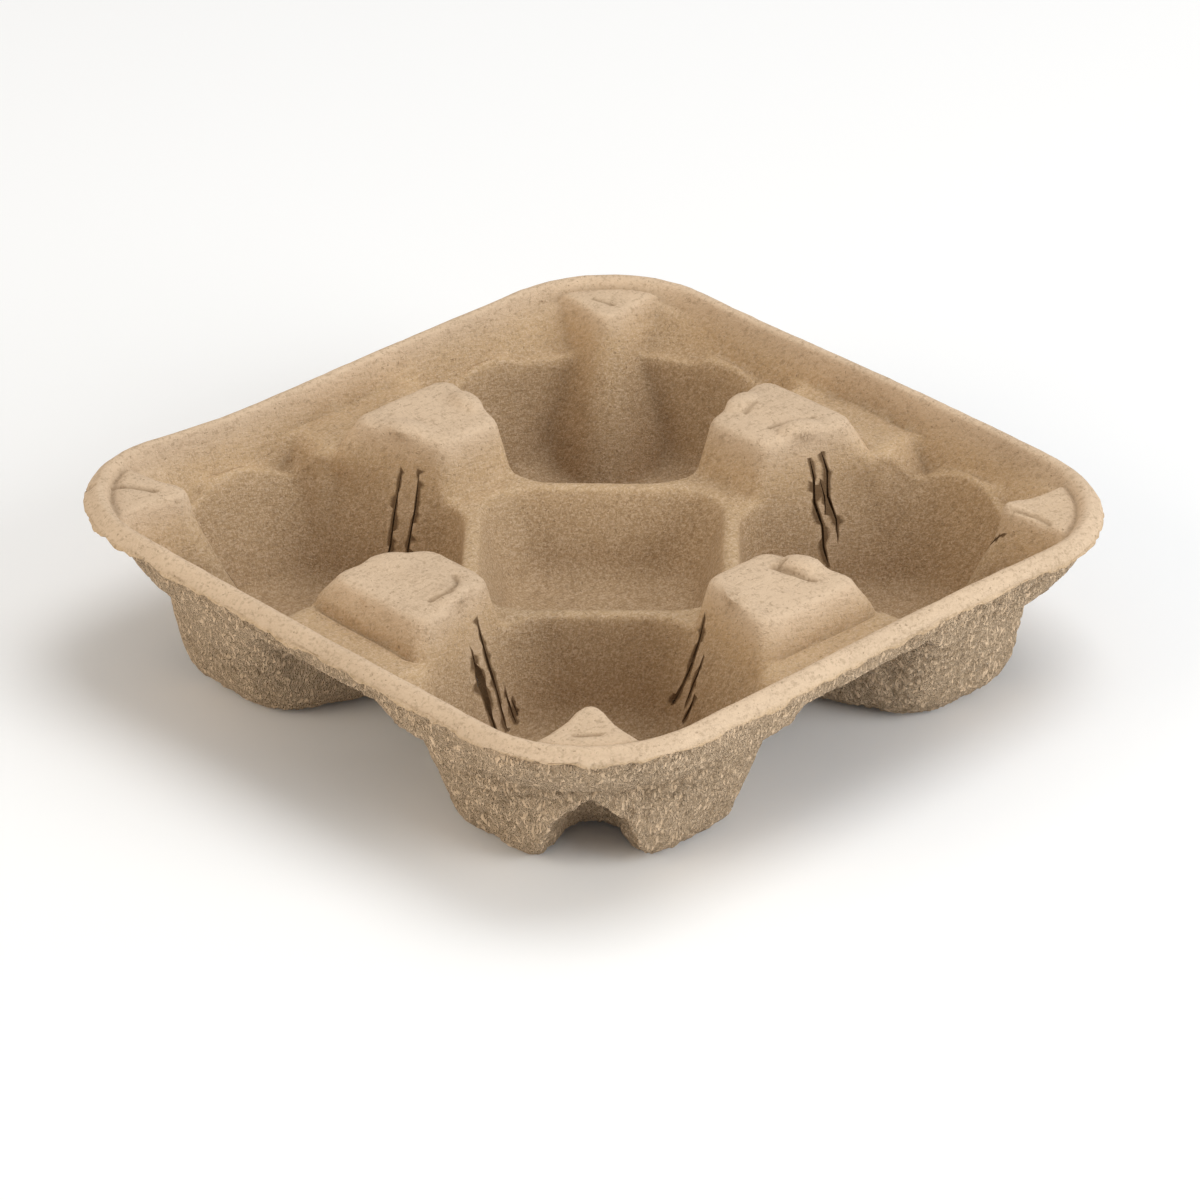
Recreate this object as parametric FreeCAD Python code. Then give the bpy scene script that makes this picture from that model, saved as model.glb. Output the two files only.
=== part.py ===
"""Moulded-pulp carrier for four cups, one piece.

Each hollow of the upper face is a drafted solid. The same solid grown by the wall
gives its outside, so the shell is the grown solids less the hollows themselves.
+Z is up, the floors of the wells stand on Z = 0 and the tray is centred on the Z axis.
"""
import FreeCAD
import Part
import math
import os

# Driving dimensions, mm and degrees
wall = 2.3
overall_side = 221.0
rim_height = 51.0
rim_land = 5.5
rim_drop = 5.8
rim_crown_width = 1.2
rim_crown_depth = 1.8
rim_corner_radius = 36.0
shelf_corner_radius = 54.0
tray_draft = 16.0
shelf_depth = 16.0
shelf_ledge = 2.0

well_depth = 48.7
outer_draft = 17.0
outer_corner_radius = 56.0
outer_corner_radius_low = 27.0
flank_radius = 19.0
flank_radius_low = 18.0
throat_radius = 16.0
well_floor_radius = 9.0

ridge_distance = 38.0
ridge_draft = 8.0
recess_distance = 34.0
recess_depth = 41.0
recess_draft = 19.0
recess_corner_radius = 14.0
recess_corner_radius_low = 12.0
recess_floor_radius = 9.0

hump_inner_end = 52.5
hump_outer_end = 82.0
hump_inner_half_width = 11.0
hump_flare = 15.2
hump_flare_low = 26.0
hump_side_draft = 10.0
hump_inner_draft = 15.0
hump_outer_draft = 23.0
hump_corner_radius = 5.0
hump_top_radius = 3.0
hump_hollow_radius = 0.7
hump_bump_height = 2.2
hump_bump_length = 13.0
hump_bump_width = 8.0
hump_bump_place = 66.3
hump_bump_overhang = 0.5

lug_distance = 113.5
lug_drop = 2.0
lug_half_width = 5.5
lug_nose_sweep = 60.0
lug_reach = 20.0
lug_top_radius = 1.5
lug_base_half_width = 21.0
lug_side_draft = 6.0
lug_nose_draft = 25.0
notch_apex_depth = 27.0
notch_apex_half_width = 0.8
notch_shoulder_depth = 34.0
notch_shoulder_half_width = 9.5
notch_half_width = 13.0
notch_foot_depth = 45.0
notch_foot_half_width = 17.0
notch_corner_radius = 0.4

slit_width = 1.0
strip_width = 5.5
strip_place = 61.0
strip_top_depth = 9.0
strip_bottom_depth = 45.0

# How far a cutting solid runs past the face that it opens
past = 1.0
# The straight that two rounded corners leave between them
least_straight = 0.3


def tan(angle):
    return math.tan(math.radians(angle))


def unit(angle):
    return math.cos(math.radians(angle)), math.sin(math.radians(angle))


# Derived sizes
crest_half = overall_side / 2 - rim_land
underside = well_depth + wall + past


def outline(sides, radii, depth):
    """Closed wire at a depth under the rim, from sides given as (normal angle, distance).

    The radius at place i rounds the corner between side i and the next one, and is
    limited by the length of those two sides.
    """
    count = len(sides)
    z = rim_height - depth
    corners, turns = [], []
    for i in range(count):
        ax, ay = unit(sides[i][0])
        bx, by = unit(sides[(i + 1) % count][0])
        a, b = sides[i][1], sides[(i + 1) % count][1]
        det = ax * by - ay * bx
        corners.append(((a * by - b * ay) / det, (b * ax - a * bx) / det))
        turns.append(math.radians((sides[(i + 1) % count][0] - sides[i][0]) % 360) / 2)
    runs = [radii[i] * math.tan(turns[i]) for i in range(count)]
    room = [math.dist(corners[i - 1], corners[i]) - least_straight for i in range(count)]
    share = [min(1, room[i] / (runs[i - 1] + runs[i])) for i in range(count)]
    starts, ends, mids = [], [], []
    for i in range(count):
        radius = radii[i] * min(share[i], share[(i + 1) % count])
        run = radius * math.tan(turns[i])
        ax, ay = unit(sides[i][0])
        bx, by = unit(sides[(i + 1) % count][0])
        x, y = corners[i]
        starts.append(FreeCAD.Vector(x + ay * run, y - ax * run, z))
        ends.append(FreeCAD.Vector(x - by * run, y + bx * run, z))
        reach = radius * (1 / math.cos(turns[i]) - 1)
        length = math.hypot(ax + bx, ay + by)
        mids.append(FreeCAD.Vector(x - (ax + bx) / length * reach, y - (ay + by) / length * reach, z))
    edges = []
    for i in range(count):
        edges.append(Part.Arc(starts[i], mids[i], ends[i]).toShape())
        edges.append(Part.makeLine(ends[i], starts[(i + 1) % count]))
    return Part.Wire(edges)


def block(*levels):
    """Solid between outlines given as (sides, radii, depth)."""
    return Part.makeLoft([outline(*level) for level in levels], True, True)


def round_end(solid, depth, radius):
    """Round the edges of a block's end face at the given depth."""
    z = rim_height - depth
    edges = [e for e in solid.Edges if abs(e.BoundBox.ZMin - z) < 0.01 and abs(e.BoundBox.ZMax - z) < 0.01]
    return solid.makeFillet(radius, edges)


def square(half, radius, depth, turn=0.0):
    """A round-cornered square at a depth under the rim, turned about the Z axis."""
    return [(turn + 90 * i, half) for i in range(4)], [radius] * 4, depth


def well_outline(depth, grow):
    """The (+X, +Y) well: two outer walls, two hump sides and the ridge side."""
    low = (depth - shelf_depth) / (well_depth - shelf_depth)
    outer = crest_half - shelf_depth * tan(tray_draft) - shelf_ledge
    outer -= (depth - shelf_depth) * tan(outer_draft)
    ridge = ridge_distance + (depth - shelf_depth) * tan(ridge_draft)
    flare = hump_flare + (hump_flare_low - hump_flare) * low
    side = -hump_side(depth, flare)
    sides = [(0, outer), (90, outer), (180 - flare, side), (225, -ridge), (270 + flare, side)]
    corner = outer_corner_radius + (outer_corner_radius_low - outer_corner_radius) * low
    flank = flank_radius + (flank_radius_low - flank_radius) * low
    radii = [corner, flank, throat_radius, throat_radius, flank]
    return [(angle, d + grow) for angle, d in sides], [r + grow for r in radii], depth


def hump_side(depth, flare):
    """Distance of a hump's side from the tray's centre, along the side's own normal."""
    c, s = unit(flare)
    return c * (hump_inner_half_width + depth * tan(hump_side_draft)) - s * hump_inner_end


def hump_half_width(place):
    """Half width of a hump's plateau at a distance from the tray's centre."""
    return hump_inner_half_width + (place - hump_inner_end) * tan(hump_flare)


def well(grow):
    solid = block(well_outline(shelf_depth, grow), well_outline(well_depth + grow, grow))
    return round_end(solid, well_depth + grow, well_floor_radius + grow)


def deep_well():
    """The (+X, +Y) well's hollow carried on through its floor."""
    return block(well_outline(shelf_depth, 0), well_outline(underside, 0))


def recess(grow):
    low = recess_distance - (recess_depth - shelf_depth) * tan(recess_draft)
    solid = block(square(recess_distance + grow, recess_corner_radius + grow, shelf_depth, 45),
                  square(low + grow, recess_corner_radius_low + grow, recess_depth + grow, 45))
    return round_end(solid, recess_depth + grow, recess_floor_radius + grow)


def tray(grow):
    """The shallow square hollow over wells and recess, down to the shelf."""
    low = crest_half - shelf_depth * tan(tray_draft)
    return block(square(crest_half + grow, rim_corner_radius + grow, 0),
                 square(low + grow, shelf_corner_radius + grow, shelf_depth + grow))


def hump(shrink, bottom):
    """The +X hump, from its plateau down to the depth given as bottom."""
    def level(depth):
        side = hump_side(depth, hump_flare) - shrink
        outer = hump_outer_end + depth * tan(hump_outer_draft) - shrink
        inner = -hump_inner_end + depth * tan(hump_inner_draft) - shrink
        sides = [(0, outer), (90 + hump_flare, side), (180, inner), (270 - hump_flare, side)]
        return sides, [hump_corner_radius - shrink] * 4, depth
    radius = hump_hollow_radius if shrink else hump_top_radius
    return round_end(block(level(shrink), level(bottom)), shrink, radius)


def bump(sign):
    """A low lug on the hump's plateau, beside one of its wells."""
    beside = hump_half_width(hump_bump_place) - hump_bump_width / 2 + hump_bump_overhang
    pad = Part.makeSphere(hump_bump_width / 2)
    matrix = FreeCAD.Matrix()
    matrix.scale(hump_bump_length / hump_bump_width, 1, 2 * hump_bump_height / hump_bump_width)
    pad = pad.transformGeometry(matrix)
    pad.rotate(FreeCAD.Vector(0, 0, 0), FreeCAD.Vector(0, 0, 1), hump_flare * sign)
    pad.translate(FreeCAD.Vector(hump_bump_place, sign * beside, rim_height))
    return pad


def lug_outline(depth, shrink):
    """The (+X, +Y) corner rib: a round nose with a concave flare on each side."""
    nose = lug_distance - (depth - lug_drop) * tan(lug_nose_draft) + shrink
    radius = lug_half_width + (depth - lug_drop) * tan(lug_side_draft) - shrink
    tip = (nose, 0.0)
    side = (nose + radius * (1 - math.cos(math.radians(lug_nose_sweep))),
            radius * math.sin(math.radians(lug_nose_sweep)))
    base = (nose + lug_reach, lug_base_half_width + (depth - lug_drop) * tan(lug_side_draft) - shrink)
    run, rise = base[0] - side[0], base[1] - side[1]
    sag = math.tan((math.atan2(rise, run) - math.radians(90 - lug_nose_sweep)) / 2) / 2
    flare = ((side[0] + base[0]) / 2 + rise * sag, (side[1] + base[1]) / 2 - run * sag)
    far = (crest_half * 1.5, base[1] + (crest_half * 1.5 - base[0]))
    c = math.sqrt(0.5)

    def point(place, sign):
        u, v = place[0], place[1] * sign
        return FreeCAD.Vector((u - v) * c, (u + v) * c, rim_height - depth)
    edges = [Part.makeLine(point(far, -1), point(base, -1)),
             Part.Arc(point(base, -1), point(flare, -1), point(side, -1)).toShape(),
             Part.Arc(point(side, -1), point(tip, 1), point(side, 1)).toShape(),
             Part.Arc(point(side, 1), point(flare, 1), point(base, 1)).toShape(),
             Part.makeLine(point(base, 1), point(far, 1)),
             Part.makeLine(point(far, 1), point(far, -1))]
    return Part.Wire(edges)


def lug(shrink, top, bottom):
    return Part.makeLoft([lug_outline(top, shrink), lug_outline(bottom, shrink)], True, True)


def notch():
    """The opening between the two feet of the (+X, +Y) corner, widening downwards."""
    far = crest_half * 1.5

    def level(half, depth):
        near = lug_distance - (depth - lug_drop) * tan(lug_nose_draft) + wall
        return [(45, far), (135, half), (225, -near), (315, half)], [notch_corner_radius] * 4, depth
    wedge = block(level(notch_apex_half_width, notch_apex_depth),
                  level(notch_shoulder_half_width, notch_shoulder_depth),
                  level(notch_half_width, notch_foot_depth),
                  level(notch_foot_half_width, underside))
    return wedge.cut(deep_well())


def slit(foot_x, foot_y, normal, lean, side):
    """One edge of a flexing strip, cut through a wall.

    The wall passes through the foot at the rim's height. It faces along the normal, an
    angle about Z, and leans against it going down.
    """
    reach = wall * 2.5
    cut = Part.makeBox(reach * 2, slit_width, strip_bottom_depth - strip_top_depth,
                       FreeCAD.Vector(-reach, (side * strip_width - slit_width) / 2, -strip_bottom_depth))
    cut.rotate(FreeCAD.Vector(0, 0, 0), FreeCAD.Vector(0, 1, 0), -lean)
    cut.rotate(FreeCAD.Vector(0, 0, 0), FreeCAD.Vector(0, 0, 1), normal)
    cut.translate(FreeCAD.Vector(foot_x, foot_y, rim_height))
    return cut


def around(shape):
    """The shape and its three copies, a quarter turn apart."""
    copies = []
    for turn in (0, 90, 180, 270):
        piece = shape.copy()
        piece.rotate(FreeCAD.Vector(0, 0, 0), FreeCAD.Vector(0, 0, 1), turn)
        copies.append(piece)
    return copies


def rim_body():
    """The rim's land with its rounded crown, and its turned-down lip."""
    half = overall_side / 2
    crown = half - rim_crown_width
    outside = block(square(crest_half + wall / 2, rim_corner_radius + wall / 2, 0),
                    square(crown, rim_corner_radius + crown - crest_half, rim_crown_depth),
                    square(half, rim_corner_radius + rim_land, rim_drop))
    inside = block(square(crown - wall, rim_corner_radius + crown - wall - crest_half, wall),
                   square(half - wall, rim_corner_radius + rim_land - wall, rim_drop + past))
    return outside.cut(inside)


def carrier():
    # The hollows of the upper face, around the humps and the corner ribs
    upper = tray(0).cut(around(hump(0, shelf_depth + past)))
    upper = upper.multiFuse(around(well(0)) + [recess(0)])
    rib = round_end(lug(0, lug_drop, well_depth + past), lug_drop, lug_top_radius)
    hollow = upper.cut(around(rib))

    # Their grown outsides, opened under the humps and behind the corner ribs
    outside = tray(wall).multiFuse(around(well(wall)) + [recess(wall), rim_body()])
    behind_rib = lug(wall, lug_drop + wall, underside).common(tray(0).fuse(deep_well()))
    under_hump = hump(wall, shelf_depth + wall + past)
    openings = around(under_hump) + around(behind_rib) + around(notch())
    shell = outside.cut(hollow).cut(openings)

    # Bumps on the plateaus, and the slits beside the flexing strips
    shell = shell.multiFuse(around(bump(1)) + around(bump(-1)))
    foot = hump_half_width(strip_place)
    nose = lug_distance / math.sqrt(2)
    cuts = []
    for side in (-1, 1):
        cuts += around(slit(strip_place, foot, 90 + hump_flare - 180, hump_side_draft, side))
        cuts += around(slit(strip_place, -foot, 90 - hump_flare, hump_side_draft, side))
        cuts += around(slit(nose, nose, 225, lug_nose_draft, side))
    return shell.cut(cuts).removeSplitter()


os.makedirs("parts", exist_ok=True)
carrier().Solids[0].exportStep("parts/cup_carrier.step")
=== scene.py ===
"""A moulded-pulp carrier for four cups, finished as felted pulp, on a pale studio floor."""

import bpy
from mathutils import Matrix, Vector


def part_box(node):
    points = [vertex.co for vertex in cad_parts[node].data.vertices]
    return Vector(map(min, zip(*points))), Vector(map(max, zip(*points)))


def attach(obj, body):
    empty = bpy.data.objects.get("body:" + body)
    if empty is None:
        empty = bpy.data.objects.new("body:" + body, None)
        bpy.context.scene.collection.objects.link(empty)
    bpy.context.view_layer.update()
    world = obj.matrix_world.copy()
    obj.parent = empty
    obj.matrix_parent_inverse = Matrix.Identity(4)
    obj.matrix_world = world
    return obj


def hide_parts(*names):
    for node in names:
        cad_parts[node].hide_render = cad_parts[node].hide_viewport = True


bl_info = {
    "name": "Pulp Cup Carrier",
    "version": (1, 0, 0),
    "blender": (4, 5, 0),
    "location": "3D View > Sidebar > Pulp Carrier",
    "description": "Builds a moulded-pulp cup carrier with its wrinkles, torn edges and fibres",
    "category": "Object",
}

import math

import bmesh
import bpy
import numpy as np
from mathutils import Matrix, Vector

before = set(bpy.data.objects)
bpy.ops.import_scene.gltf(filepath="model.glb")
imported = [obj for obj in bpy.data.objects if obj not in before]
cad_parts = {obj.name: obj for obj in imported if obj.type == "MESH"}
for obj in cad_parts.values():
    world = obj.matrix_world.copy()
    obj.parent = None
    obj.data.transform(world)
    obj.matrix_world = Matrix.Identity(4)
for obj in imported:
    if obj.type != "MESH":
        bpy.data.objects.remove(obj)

MM = 0.001
NODE = "cup_carrier"
_, CAD_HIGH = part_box(NODE)
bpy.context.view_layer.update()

# Sizes of the solid that the finish follows, and of the finish itself, mm and degrees
PLATEAU_BUMP = 2.2
RIM_HEIGHT = CAD_HIGH.z / MM - PLATEAU_BUMP
HALF_SIDE = CAD_HIGH.x / MM
RIM_LAND = 5.5
CREST_HALF = HALF_SIDE - RIM_LAND
CORNER_RADIUS = 36.0
LIP_DROP = 5.8
LIP_INSIDE = HALF_SIDE - 2.3
SHELF_DEPTH = 16.0
VALLEY_DEPTH = 10.0
WALL = 2.3
ARCH_LIFT = 2.8
LEFT_CORNER_OUT = 2.0
LEFT_CORNER_UP = 3.0
RIGHT_CORNER_DOWN = 1.0
LIP_SHORTER = 1.2
LIP_SHORTER_FRONT = 0.9
WELL_DEPTH = 48.7
HUMP_INNER = 52.5
HUMP_HALF = 11.0
HUMP_FLARE = 15.2
HUMP_FLARE_LOW = 26.0
HUMP_DRAFT = 10.0
LUG_NOSE = 113.5
LUG_DROP = 2.0
LUG_RADIUS = 5.5
LUG_NOSE_DRAFT = 25.0
LUG_SIDE_DRAFT = 6.0
CAMERA_DROP = 33.0

# Humps by the turn of their frame: right, back, left and front side of the tray
HUMPS = (0, 90, 180, 270)
BACK_HUMPS = (90, 180)
# Corners by the turn of their frame: right, back, left and front
CORNERS = (45, 135, 225, 315)
FRONT = 315
# How much of each plateau's two bumps is left, on its positive and negative side
BUMP_KEPT = {0: (1.0, 0.06), 90: (0.75, 0.9), 180: (0.6, 0.9), 270: (0.45, 0.22)}
# How closely the lip is pressed to the foot at each corner
LIP_PRESSED = {45: 0.75, 135: 0.6, 225: 0.3, 315: 1.0}

# How far a crack and a hole go into the wall, the width from which a tear is a hole, how far
# the blades stand out of the skin, mm, and the humps' mean flare along the tears
CRACK_DEPTH = 1.9
THROUGH = 4.5
HOLE_WIDTH = 2
PROUD = 1.6
TEAR_FLARE = HUMP_FLARE + 3
# The first mesh's voxels by the second's, and the angle from which an edge is sharp, degrees
COARSER = 1.4
SHARP_ANGLE = 78

# Tears beside the flexing strips: hump, side of it, and (along, depth, width) places
PLAIN_TEARS = (((58.2, 10, 0.15), (58.0, 20, 0.5), (58.4, 32, 0.6), (58.1, 43, 0.15)),
               ((63.8, 11, 0.15), (64.0, 22, 0.5), (63.6, 33, 0.6), (63.9, 42, 0.15)))
HUMP_TEARS = [
    (0, -1, ((54.5, 10, 0.15), (53.4, 18, 0.9), (51.4, 26, 1.1), (49.2, 33, 0.8), (47.0, 39, 1.0),
             (45.4, 44, 0.2))),
    (0, -1, ((56.6, 21, 0.15), (55.0, 27, 0.8), (52.8, 33, 0.9), (51.2, 38, 0.2))),
    (0, -1, ((55.4, 33, 0.15), (53.6, 38, 1.1), (51.4, 43, 0.2))),
    (270, 1, ((60.4, 9, 0.15), (59.4, 16, 0.9), (58.2, 24, 1.2), (56.9, 31, 0.8), (55.8, 38, 0.9),
              (54.8, 44, 0.2))),
    (270, 1, ((64.4, 16, 0.15), (64.2, 20, 1.0), (63.4, 23, 3.2), (62.8, 27, 3.9), (62.2, 31, 3.3),
              (61.8, 34, 2.0), (61.3, 37, 1.2), (60.5, 41, 0.8), (59.9, 45, 0.2))),
    (270, 1, ((53.0, 33, 0.15), (51.8, 38, 0.9), (50.6, 44, 0.2))),
    (270, 1, ((50.6, 37, 0.15), (49.6, 41, 0.7), (49.0, 45, 0.2))),
    (90, -1, ((66.0, 7, 0.15), (66.6, 13, 0.8), (65.6, 20, 0.9), (66.7, 27, 0.7), (65.9, 33, 0.9),
              (66.3, 38, 0.2))),
    (90, -1, ((69.8, 6, 0.15), (70.9, 12, 0.7), (69.9, 19, 0.8), (71.0, 26, 0.7), (70.2, 32, 0.2))),
    (90, -1, ((68.4, 14, 0.15), (68.9, 19, 0.5), (68.2, 24, 0.15))),
]
PLAIN_WALLS = ((0, 1), (270, -1), (90, 1), (180, 1), (180, -1))
HUMP_TEARS += [(turn, side, tear) for turn, side in PLAIN_WALLS for tear in PLAIN_TEARS]

# Tears across the noses of the corner ribs: corner, and (across, depth, width) places
LUG_TEARS = [
    (45, ((-3.2, 9, 0.15), (0.5, 14, 0.7), (4.2, 19, 0.5), (6.0, 23, 0.15))),
    (225, ((-2.6, 10, 0.15), (-2.9, 22, 0.6), (-2.5, 36, 0.15))),
    (315, ((2.6, 10, 0.15), (2.9, 22, 0.6), (2.5, 36, 0.15))),
]

# Creases pressed into the upper skin: depth range, width, drop and (x, y) places
CREASES = [
    ((-1, 5), 1.3, 0.9, ((85.8, -90.6), (88.2, -88.2), (90.2, -86.0))),
    ((-1, 6), 1.5, 0.9, ((83.0, 79.6), (88.4, 81.4), (93.6, 81.0))),
    ((-1, 7), 1.5, 0.8, ((-94.0, -90.6), (-89.6, -87.0), (-85.4, -84.6))),
    ((-1, 6), 1.2, 0.5, ((-84.0, 86.0), (-90.6, 84.4))),
    ((-4, 3), 1.6, 1.0, ((60.6, 5.6), (66.0, 6.4), (74.6, 8.4))),
    ((-4, 3), 1.3, 0.7, ((61.4, 5.0), (62.6, 9.4))),
    ((-4, 3), 1.3, 0.8, ((5.0, -58.6), (8.6, -61.6), (11.0, -66.0), (10.4, -72.4))),
    ((-4, 3), 1.2, 0.5, ((5.0, 61.0), (7.2, 67.4), (9.4, 74.2))),
    ((-4, 3), 1.1, 0.45, ((-6.4, 62.4), (-8.0, 69.0))),
    ((-2, 6), 0.9, 1.2, ((-96.6, -96.0), (-100.2, -99.6), (-103.0, -102.0))),
]

# Swellings of the humps' side walls: hump, side, place along and its half span, depth and its
# half span, mm outwards
SWELLS = [
    (270, -1, 88, 26, 9, 11, 5.0),
    (270, -1, 66, 20, 1, 8, 3.2),
    (0, 1, 90, 22, 9, 10, 3.0),
    (0, 1, 66, 16, 1, 7, 1.4),
    (90, -1, 90, 20, 11, 10, 3.0),
    (180, 1, 88, 22, 11, 10, 3.0),
]

# Noses of the corner ribs: corner, how far each is drawn out, its half width and its lift, mm
NOSES = [(315, 2.6, 7.0, 0.9), (45, 2.2, 6.0, 1.3), (225, 1.6, 7.5, 0.8), (135, 1.2, 6.5, 0.5)]

# The stage: half side of the floor and side of the lamps in m, light of the surroundings, and
# each lamp's name, place, power in W and colour
FLOOR_HALF = 6.0
WORLD_LIGHT = 0.42
SOFTBOX_SIDE = 1.2
SOFTBOXES = (
    ("top_softbox", (0.2, 0.5, 1.9), 15.5, (1.0, 1.0, 1.0)),
    ("right_softbox", (1.7, 0.5, 0.75), 22.0, (0.94, 0.98, 1.0)),
    ("left_softbox", (-0.6, -1.7, 0.8), 14.0, (1.0, 0.9, 0.74)),
)


class SheetSettings(bpy.types.PropertyGroup):
    """How the pulp sheet is meshed and how uneven it is."""
    voxel: bpy.props.FloatProperty(
        name="Voxel", description="Size of the mesh that the sheet is remade with",
        default=0.0006, min=0.0004, max=0.003, unit="LENGTH", precision=5)
    soften: bpy.props.IntProperty(
        name="Soften", description="Smoothing passes that round the folds", default=26, min=0, max=80)
    triangles: bpy.props.IntProperty(
        name="Triangles", description="Most triangles in the finished sheet", default=190000, min=20000)
    warp: bpy.props.FloatProperty(
        name="Warp", description="How far the whole tray wanders from true, in mm", default=0.7)
    wrinkle: bpy.props.FloatProperty(
        name="Wrinkle", description="Height of the wrinkles under the tray, in mm", default=0.8)
    ragged: bpy.props.FloatProperty(
        name="Ragged", description="How far the lip's lower edge wanders, in mm", default=0.9)


class PulpColours(bpy.types.PropertyGroup):
    """Colours of the pulp."""
    # Light also stands for painted top light on the rim and the plateaus, besides the pale fibres,
    # flecks and torn edges
    light: bpy.props.FloatVectorProperty(
        name="Light", description="Rim, plateaus and worn folds", subtype="COLOR", size=3,
        default=(0.69, 0.52, 0.365), min=0, max=1)
    body: bpy.props.FloatVectorProperty(
        name="Body", description="Smooth inside of the tray", subtype="COLOR", size=3,
        default=(0.55, 0.38, 0.215), min=0, max=1)
    rough: bpy.props.FloatVectorProperty(
        name="Rough", description="Wrinkled underside", subtype="COLOR", size=3,
        default=(0.70, 0.515, 0.34), min=0, max=1)
    # Dark is painted shade in the deep wells, dents and creases, and also the darker tones of the grain
    dark: bpy.props.FloatVectorProperty(
        name="Dark", description="Hollows of wrinkles and cracks", subtype="COLOR", size=3,
        default=(0.21, 0.13, 0.065), min=0, max=1)
    # Fleck also paints near-black shade inside the cut cracks and the torn hole
    fleck_and_slit_shade: bpy.props.FloatVectorProperty(
        name="Fleck", description="Dark specks in the pulp", subtype="COLOR", size=3,
        default=(0.13, 0.075, 0.035), min=0, max=1)


class StudioSettings(bpy.types.PropertyGroup):
    """Camera and floor."""
    azimuth: bpy.props.FloatProperty(
        name="Azimuth", description="Direction that the camera stands in", subtype="ANGLE",
        default=math.radians(46.39))
    elevation: bpy.props.FloatProperty(
        name="Elevation", description="How steeply the camera looks down", subtype="ANGLE",
        default=math.radians(29.62))
    roll: bpy.props.FloatProperty(
        name="Roll", description="Turn of the camera about its own axis", subtype="ANGLE",
        default=math.radians(-0.32))
    distance: bpy.props.FloatProperty(
        name="Distance", description="From the tray to the camera", default=1.888, unit="LENGTH")
    lens: bpy.props.FloatProperty(
        name="Lens", description="Focal length in mm", default=204.0, min=20)
    aim_height: bpy.props.FloatProperty(
        name="Aim Height", description="Height of the point in the middle of the view",
        default=(RIM_HEIGHT - CAMERA_DROP) * MM, unit="LENGTH")
    floor: bpy.props.FloatVectorProperty(
        name="Floor", description="Colour of the floor", subtype="COLOR", size=3,
        default=(0.96, 0.96, 0.96), min=0, max=1)


def grain(points, scale, seed):
    """Smooth noise from -1 to 1 at points given in mm, with lumps about one scale across."""
    low = points.min(0) - scale
    place = (points - low) / scale
    cell = np.floor(place).astype(int)
    part = place - cell
    part = part * part * (3 - 2 * part)
    lattice = np.random.RandomState(seed).rand(*(cell.max(0) + 2)) * 2 - 1
    total = np.zeros(len(points))
    for dx in (0, 1):
        for dy in (0, 1):
            for dz in (0, 1):
                share = np.abs(1 - dx - part[:, 0])
                share = share * np.abs(1 - dy - part[:, 1])
                share = share * np.abs(1 - dz - part[:, 2])
                total += share * lattice[cell[:, 0] + dx, cell[:, 1] + dy, cell[:, 2] + dz]
    return total


def rise(value, start, end):
    """Smooth step from 0 at start to 1 at end."""
    t = np.clip((value - start) / (end - start), 0, 1)
    return t * t * (3 - 2 * t)


def hill(value, middle, half):
    """Smooth bump of height 1 at middle that ends half away on each side."""
    return 1 - rise(np.abs(value - middle), 0, half)


def turned(co, degrees):
    """Horizontal coordinates of the points in a frame turned about the Z axis."""
    c, s = math.cos(math.radians(degrees)), math.sin(math.radians(degrees))
    return co[:, 0] * c + co[:, 1] * s, -co[:, 0] * s + co[:, 1] * c


def square_distance(co):
    """Distance from the axis to the round-cornered square that passes through each point."""
    x, y = np.abs(co[:, 0]), np.abs(co[:, 1])
    inner = CREST_HALF - CORNER_RADIUS
    beyond = np.hypot(np.maximum(x - inner, 0), np.maximum(y - inner, 0))
    return np.where((x > inner) & (y > inner), inner + beyond, np.maximum(x, y))


def line_distance(points, line):
    """Distance of each point from a line through the given places, in the plane or in space."""
    nearest = np.full(len(points), np.inf)
    for start, end in zip(line[:-1], line[1:]):
        run = end - start
        share = np.clip((points - start) @ run / (run @ run), 0, 1)
        nearest = np.minimum(nearest, np.sqrt(((points - start - share[:, None] * run) ** 2).sum(1)))
    return nearest


def tangent(angle):
    return math.tan(math.radians(angle))


def hump_wall(along, depth):
    """How far the side wall of a hump stands from the hump's middle line."""
    low = min(max((depth - SHELF_DEPTH) / (WELL_DEPTH - SHELF_DEPTH), 0), 1)
    flare = HUMP_FLARE + (HUMP_FLARE_LOW - HUMP_FLARE) * low
    return HUMP_HALF + depth * tangent(HUMP_DRAFT) + (along - HUMP_INNER) * tangent(flare)


def lug_wall(across, depth):
    """How far the nose of a corner rib stands from the tray's middle."""
    radius = LUG_RADIUS + (depth - LUG_DROP) * tangent(LUG_SIDE_DRAFT)
    nose = LUG_NOSE - (depth - LUG_DROP) * tangent(LUG_NOSE_DRAFT)
    return nose + radius - math.sqrt(max(radius * radius - across * across, 0))


def tears():
    """Each tear as places on the skin, directions across it and through the wall, widths and depth."""
    found = []
    for turn, side, places in HUMP_TEARS:
        spin = Matrix.Rotation(math.radians(turn), 3, "Z")
        back = -math.sin(math.radians(TEAR_FLARE))
        through = spin @ Vector((back, side, tangent(HUMP_DRAFT))).normalized()
        aside = spin @ Vector((1, side * tangent(TEAR_FLARE), 0)).normalized()
        line = [spin @ Vector((a, side * hump_wall(a, d), RIM_HEIGHT - d)) for a, d, _ in places]
        deep = THROUGH if max(w for _, _, w in places) > HOLE_WIDTH else CRACK_DEPTH
        line, widths = jagged(line, [w for _, _, w in places])
        found.append((line, aside, through, widths, deep))
    for turn, places in LUG_TEARS:
        spin = Matrix.Rotation(math.radians(turn), 3, "Z")
        through = spin @ Vector((-1, 0, tangent(LUG_NOSE_DRAFT))).normalized()
        line = [spin @ Vector((lug_wall(v, d), v, RIM_HEIGHT - d)) for v, d, _ in places]
        line, widths = jagged(line, [w for _, _, w in places])
        found.append((line, spin @ Vector((0, 1, 0)), through, widths, CRACK_DEPTH))
    return found


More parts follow.
